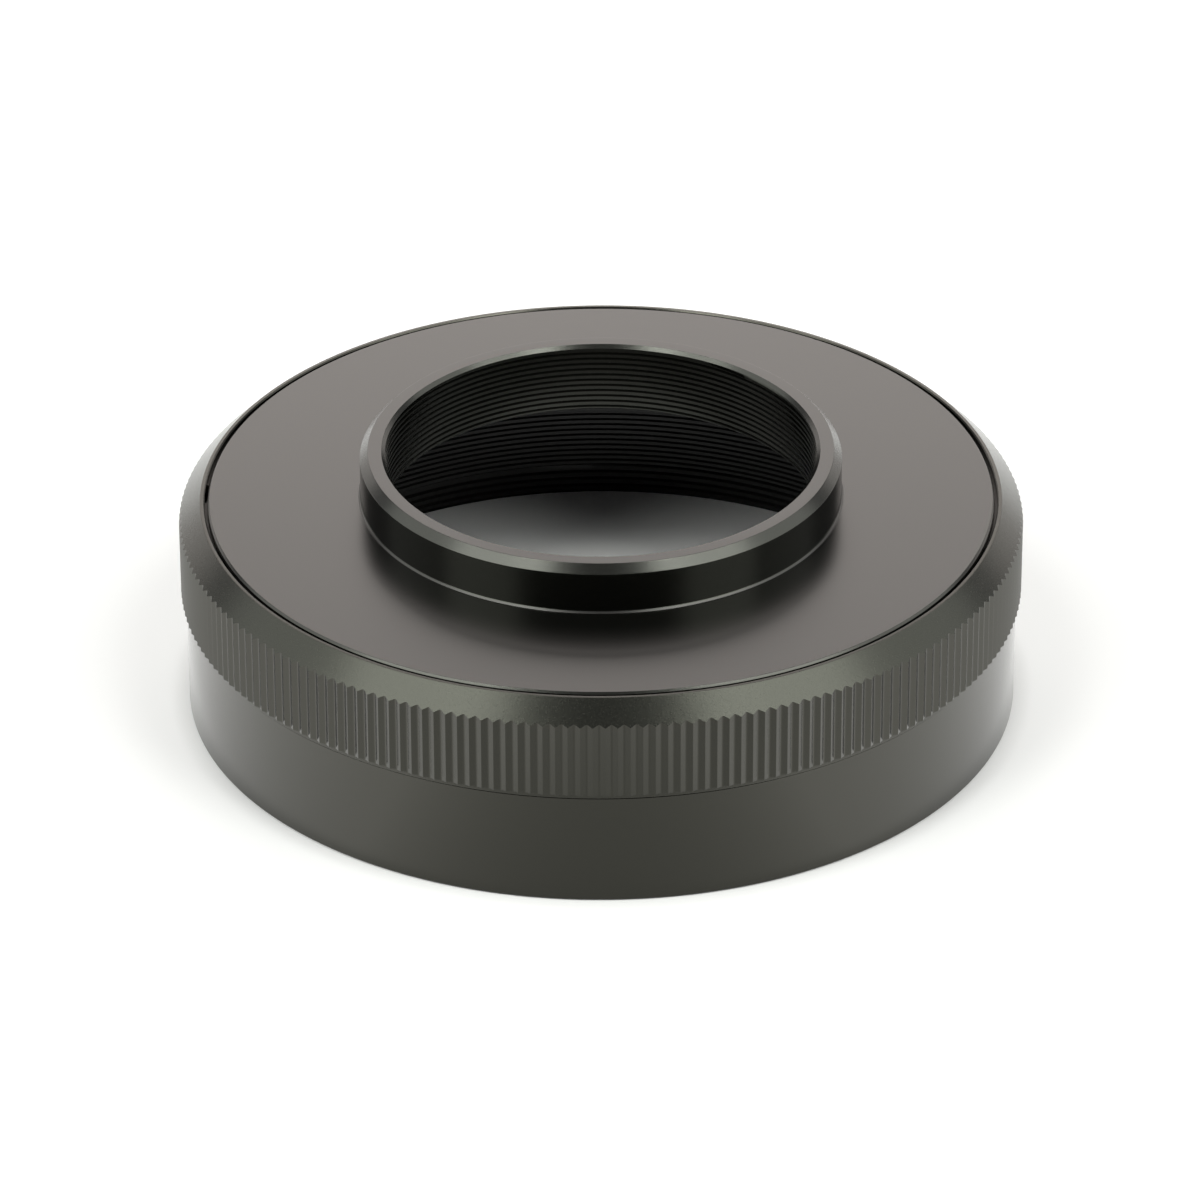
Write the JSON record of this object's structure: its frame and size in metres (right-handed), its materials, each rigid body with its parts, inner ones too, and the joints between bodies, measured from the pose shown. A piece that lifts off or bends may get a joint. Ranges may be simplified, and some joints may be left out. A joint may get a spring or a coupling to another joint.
{
  "type": "lens mount adapter",
  "caption": "Low round lens mount adapter: smooth skirt with a wide lens thread below, knurled ring, and a turning flat plate with a raised threaded collar.",
  "frame": {"origin": "centre of the body tube's bottom face, on the common axis of all pieces", "axes": "+Z along the optical axis, from the lens side up to the threaded collar"},
  "size_m": [0.1042, 0.1042, 0.0333],
  "materials": {
    "tube_anodised": "black anodised, fine turned satin",
    "plate_anodised": "black anodised, bead blasted",
    "ring_anodised": "black anodised, bead blasted, knurled",
    "spring_wire": "blackened spring wire with bright cut ends"
  },
  "bodies": {
    "body": {"body_tube": "tube_anodised"},
    "ring": {"knurled_ring": "ring_anodised", "snap_ring": "spring_wire"},
    "plate": {"mount_plate": "plate_anodised"}
  },
  "joints": [
    {"name": "ring_turn", "type": "hinge", "parent": "body", "child": "ring", "pos_m": [0, 0, 0.0195], "axis": [0, 0, 1], "range_deg": [0, 90]},
    {"name": "plate_turn", "type": "hinge", "parent": "body", "child": "plate", "pos_m": [0, 0, 0.0256], "axis": [0, 0, 1], "continuous": true}
  ]
}
